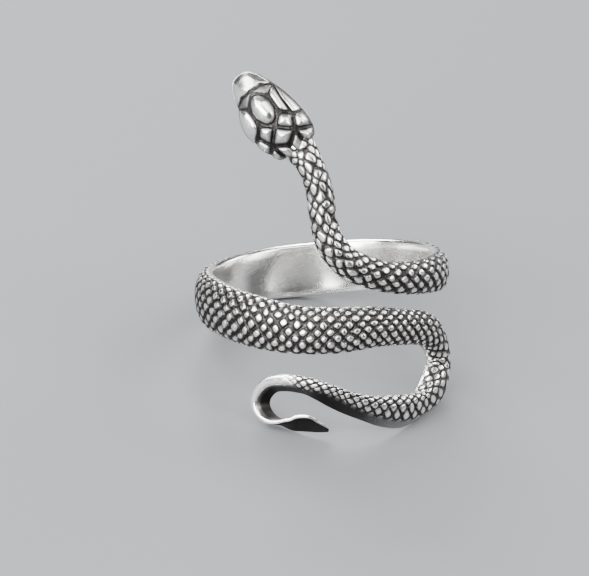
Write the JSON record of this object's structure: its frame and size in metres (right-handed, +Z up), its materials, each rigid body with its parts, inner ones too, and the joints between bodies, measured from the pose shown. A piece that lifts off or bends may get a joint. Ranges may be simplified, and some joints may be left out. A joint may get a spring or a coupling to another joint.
{
  "type": "snake ring",
  "caption": "Silver finger ring cast as a coiled snake: a scaled band, the head lying flat above it and the tail curled up below.",
  "frame": {"origin": "centre of the finger opening, on its axis, level with the front of the band", "axes": "+Z up, square to the surface that the ring rests on; -Y towards the snake's head side and the viewer of the picture; +X to the viewer's right"},
  "size_m": [0.0212, 0.0223, 0.0249],
  "materials": {
    "silver": "cast silver, polished on the high spots and darkened in the grooves"
  },
  "bodies": {
    "root": {"snake_ring": "silver"}
  },
  "joints": []
}
